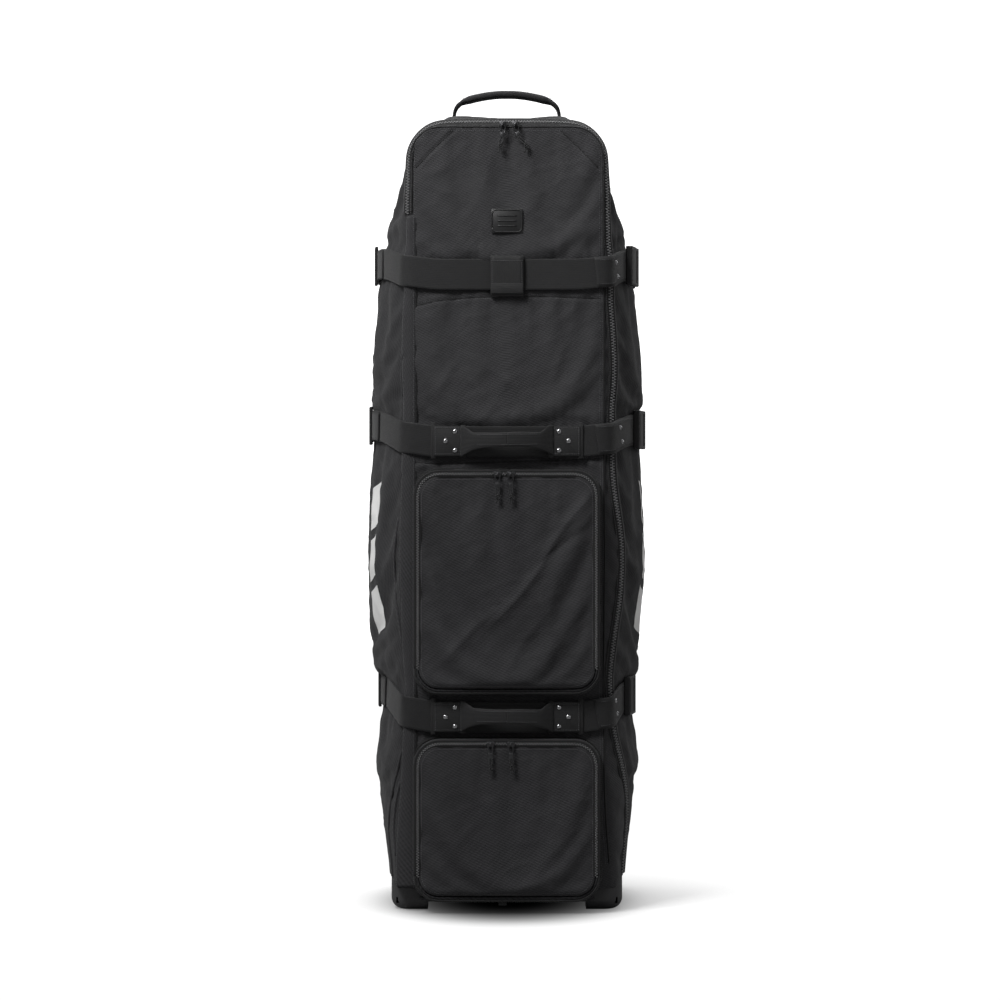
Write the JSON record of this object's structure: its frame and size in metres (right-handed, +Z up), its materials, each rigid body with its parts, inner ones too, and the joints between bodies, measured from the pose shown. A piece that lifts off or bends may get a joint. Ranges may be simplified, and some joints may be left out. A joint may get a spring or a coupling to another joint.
{
  "type": "golf_travel_case",
  "caption": "Tall padded black golf travel case on skate wheels, with a full-height zipped front door, zipped pockets, compression straps, side-release buckles and grab handles",
  "frame": {"origin": "On the floor, under the centre of the case's overall footprint, standing upright on its feet and wheels.", "axes": "+Z is up along the case's height, +X is the viewer's right when facing the door, and the door faces -Y."},
  "size_m": [0.45, 0.3856, 1.317],
  "materials": {
    "shell_fabric": "woven, matte",
    "pocket_fabric": "woven, matte",
    "webbing": "ribbed webbing",
    "zip_tape": "coil zip and tape",
    "metal": "polished",
    "hardware_plastic": "moulded, satin",
    "base_plastic": "moulded, grained",
    "tyre": "polyurethane tread",
    "hub": "moulded",
    "foam": "foam with lining",
    "badge": "moulded patch",
    "steel": "plated"
  },
  "bodies": {
    "case": {"side_panel_left": "shell_fabric", "side_panel_right": "shell_fabric", "back_panel": "shell_fabric", "crown_panel": "shell_fabric", "crown_foam": "foam", "back_board": "base_plastic", "cinch_strap": "webbing", "cinch_buckle": "hardware_plastic", "base_deck": "base_plastic", "skid_rails": "base_plastic", "deck_rivets": "steel", "axle_sets": "steel", "plug_webbing": "webbing", "left_webbing": "webbing"},
    "door": {"front_door": "shell_fabric", "main_zip_chain": "zip_tape", "badge_patch": "badge", "upper_pocket_gusset": "pocket_fabric", "lower_pocket_gusset": "pocket_fabric", "strap_top": "webbing", "strap_middle": "webbing", "strap_lower": "webbing", "strap_keeper": "webbing", "handle_patches": "webbing", "strap_rivets": "metal", "buckle_socket_top": "hardware_plastic", "buckle_socket_middle": "hardware_plastic", "buckle_socket_lower": "hardware_plastic"},
    "upper_flap": {"upper_pocket_flap": "pocket_fabric", "upper_zip_chain": "zip_tape"},
    "lower_flap": {"lower_pocket_flap": "pocket_fabric", "lower_zip_chain": "zip_tape"},
    "top_handle": {"top_handle_webbing": "webbing", "top_handle_grip": "webbing"},
    "middle_handle": {"grab_handle_middle": "webbing"},
    "lower_handle": {"grab_handle_lower": "webbing"},
    "plug_top": {"buckle_plug_top": "hardware_plastic"},
    "plug_middle": {"buckle_plug_middle": "hardware_plastic"},
    "plug_lower": {"buckle_plug_lower": "hardware_plastic"},
    "lock_top": {"ladder_lock_top": "hardware_plastic"},
    "lock_middle": {"ladder_lock_middle": "hardware_plastic"},
    "lock_lower": {"ladder_lock_lower": "hardware_plastic"},
    "wheel_left": {"wheel_tyre_left": "tyre", "wheel_hub_left": "hub", "wheel_bearings_left": "steel"},
    "wheel_right": {"wheel_tyre_right": "tyre", "wheel_hub_right": "hub", "wheel_bearings_right": "steel"},
    "main_left_slider": {"main_left_slider": "metal"},
    "main_left_pull": {"main_left_pull": "metal"},
    "main_right_slider": {"main_right_slider": "metal"},
    "main_right_pull": {"main_right_pull": "metal"},
    "upper_left_slider": {"upper_left_slider": "metal"},
    "upper_left_pull": {"upper_left_pull": "metal"},
    "upper_right_slider": {"upper_right_slider": "metal"},
    "upper_right_pull": {"upper_right_pull": "metal"},
    "lower_left_slider": {"lower_left_slider": "metal"},
    "lower_left_pull": {"lower_left_pull": "metal"},
    "lower_right_slider": {"lower_right_slider": "metal"},
    "lower_right_pull": {"lower_right_pull": "metal"}
  },
  "joints": [
    {"name": "door_hinge", "type": "hinge", "parent": "case", "child": "door", "pos_m": [-0.155, -0.15785, 0.59], "axis": [0, 0, -1], "range_deg": [0, 110]},
    {"name": "upper_flap_hinge", "type": "hinge", "parent": "door", "child": "upper_flap", "pos_m": [0, -0.18285, 0.348], "axis": [1, 0, 0], "range_deg": [0, 90]},
    {"name": "lower_flap_hinge", "type": "hinge", "parent": "door", "child": "lower_flap", "pos_m": [0, -0.18285, 0.022], "axis": [1, 0, 0], "range_deg": [0, 80]},
    {"name": "top_handle_swing", "type": "hinge", "parent": "case", "child": "top_handle", "pos_m": [0, 0.00315, 1.269], "axis": [1, 0, 0], "range_deg": [-40, 40]},
    {"name": "middle_handle_swing", "type": "hinge", "parent": "door", "child": "middle_handle", "pos_m": [0, -0.16985, 0.743], "axis": [-1, 0, 0], "range_deg": [0, 60]},
    {"name": "lower_handle_swing", "type": "hinge", "parent": "door", "child": "lower_handle", "pos_m": [0, -0.16985, 0.308], "axis": [-1, 0, 0], "range_deg": [0, 60]},
    {"name": "plug_top_slide", "type": "slide", "parent": "case", "child": "plug_top", "axis": [0.2368, 0.9716, 0], "range_m": [0, 0.038]},
    {"name": "plug_middle_slide", "type": "slide", "parent": "case", "child": "plug_middle", "axis": [0.2221, 0.975, 0], "range_m": [0, 0.038]},
    {"name": "plug_lower_slide", "type": "slide", "parent": "case", "child": "plug_lower", "axis": [0.2073, 0.9783, 0], "range_m": [0, 0.038]},
    {"name": "lock_top_tilt", "type": "hinge", "parent": "case", "child": "lock_top", "pos_m": [-0.21363, 0.02533, 1.032], "axis": [0, 0, -1], "range_deg": [0, 32]},
    {"name": "lock_middle_tilt", "type": "hinge", "parent": "case", "child": "lock_middle", "pos_m": [-0.22259, 0.02516, 0.772], "axis": [0, 0, -1], "range_deg": [0, 32]},
    {"name": "lock_lower_tilt", "type": "hinge", "parent": "case", "child": "lock_lower", "pos_m": [-0.20763, 0.02545, 0.346], "axis": [0, 0, -1], "range_deg": [0, 32]},
    {"name": "wheel_left_spin", "type": "hinge", "parent": "case", "child": "wheel_left", "pos_m": [-0.155, 0.15115, 0.038], "axis": [1, 0, 0], "continuous": true},
    {"name": "wheel_right_spin", "type": "hinge", "parent": "case", "child": "wheel_right", "pos_m": [0.155, 0.15115, 0.038], "axis": [1, 0, 0], "continuous": true},
    {"name": "main_left_slide", "type": "slide", "parent": "door", "child": "main_left_slider", "axis": [-1, 0, 0], "range_m": [0, 0.07]},
    {"name": "main_left_pull_swing", "type": "hinge", "parent": "main_left_slider", "child": "main_left_pull", "pos_m": [-0.006, -0.16485, 1.2445], "axis": [-1, 0, 0], "range_deg": [0, 95]},
    {"name": "main_right_slide", "type": "slide", "parent": "door", "child": "main_right_slider", "axis": [1, 0, 0], "range_m": [0, 0.07]},
    {"name": "main_right_pull_swing", "type": "hinge", "parent": "main_right_slider", "child": "main_right_pull", "pos_m": [0.014, -0.16485, 1.2445], "axis": [-1, 0, 0], "range_deg": [0, 95]},
    {"name": "upper_left_slide", "type": "slide", "parent": "upper_flap", "child": "upper_left_slider", "axis": [-1, 0, 0], "range_m": [0, 0.07]},
    {"name": "upper_left_pull_swing", "type": "hinge", "parent": "upper_left_slider", "child": "upper_left_pull", "pos_m": [-0.015, -0.19035, 0.6915], "axis": [-1, 0, 0], "range_deg": [0, 95]},
    {"name": "upper_right_slide", "type": "slide", "parent": "upper_flap", "child": "upper_right_slider", "axis": [1, 0, 0], "range_m": [0, 0.07]},
    {"name": "upper_right_pull_swing", "type": "hinge", "parent": "upper_right_slider", "child": "upper_right_pull", "pos_m": [0.006, -0.19035, 0.6915], "axis": [-1, 0, 0], "range_deg": [0, 95]},
    {"name": "lower_left_slide", "type": "slide", "parent": "lower_flap", "child": "lower_left_slider", "axis": [-1, 0, 0], "range_m": [0, 0.07]},
    {"name": "lower_left_pull_swing", "type": "hinge", "parent": "lower_left_slider", "child": "lower_left_pull", "pos_m": [-0.026, -0.19035, 0.2675], "axis": [-1, 0, 0], "range_deg": [0, 95]},
    {"name": "lower_right_slide", "type": "slide", "parent": "lower_flap", "child": "lower_right_slider", "axis": [1, 0, 0], "range_m": [0, 0.07]},
    {"name": "lower_right_pull_swing", "type": "hinge", "parent": "lower_right_slider", "child": "lower_right_pull", "pos_m": [0.006, -0.19035, 0.2675], "axis": [-1, 0, 0], "range_deg": [0, 95]}
  ]
}
